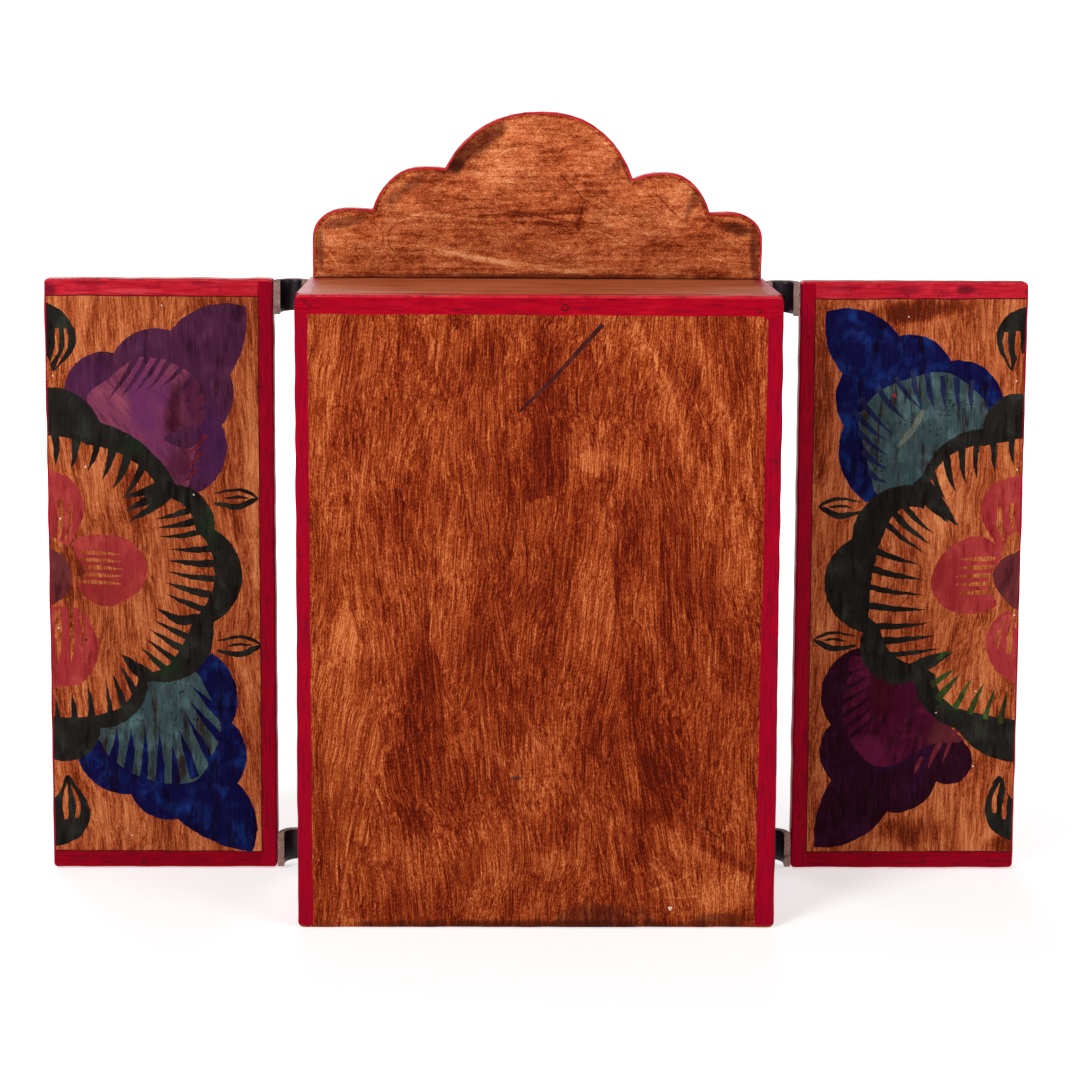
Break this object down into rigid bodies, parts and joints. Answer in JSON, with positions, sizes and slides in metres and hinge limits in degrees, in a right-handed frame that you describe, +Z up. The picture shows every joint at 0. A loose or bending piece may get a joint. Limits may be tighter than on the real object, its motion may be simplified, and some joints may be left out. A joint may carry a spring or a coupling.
{
  "type": "retablo",
  "caption": "Painted wooden box shrine standing with its flower-painted doors open, a scalloped crest board on top and looped leather strap hinges.",
  "frame": {"origin": "on the surface it stands on, under the middle of the whole part with its doors open", "axes": "+Z up, -Y out of the open front, +X to the right seen from the front"},
  "size_m": [0.389, 0.0814, 0.3057],
  "materials": {
    "back_glaze": "brown glaze brushed over wood, red painted border, satin varnish",
    "box_glaze": "brown glaze brushed over wood, red painted edges, satin varnish",
    "crest_glaze": "sponged brown glaze, thin red painted edge, satin varnish",
    "door_paint": "flowers painted in green, blue, purple and pink over brown glaze, red bands, satin varnish",
    "strap_leather": "black grain side, grey-brown suede flesh side and cut ends"
  },
  "bodies": {
    "box": {"back_panel": "back_glaze", "top_board": "box_glaze", "bottom_board": "box_glaze", "left_side_board": "box_glaze", "right_side_board": "box_glaze", "crest_board": "crest_glaze", "left_top_strap": "strap_leather", "left_bottom_strap": "strap_leather", "right_top_strap": "strap_leather", "right_bottom_strap": "strap_leather"},
    "left_door": {"left_door": "door_paint"},
    "right_door": {"right_door": "door_paint"}
  },
  "joints": [
    {"name": "left_door_hinge", "type": "hinge", "parent": "box", "child": "left_door", "pos_m": [-0.0975, -0.03945, 0.12], "axis": [0, 0, 1], "range_deg": [-45, 179.5], "deforming": ["left_top_strap", "left_bottom_strap"]},
    {"name": "right_door_hinge", "type": "hinge", "parent": "box", "child": "right_door", "pos_m": [0.0975, -0.03945, 0.12], "axis": [0, 0, -1], "range_deg": [-45, 179.5], "deforming": ["right_top_strap", "right_bottom_strap"]}
  ]
}
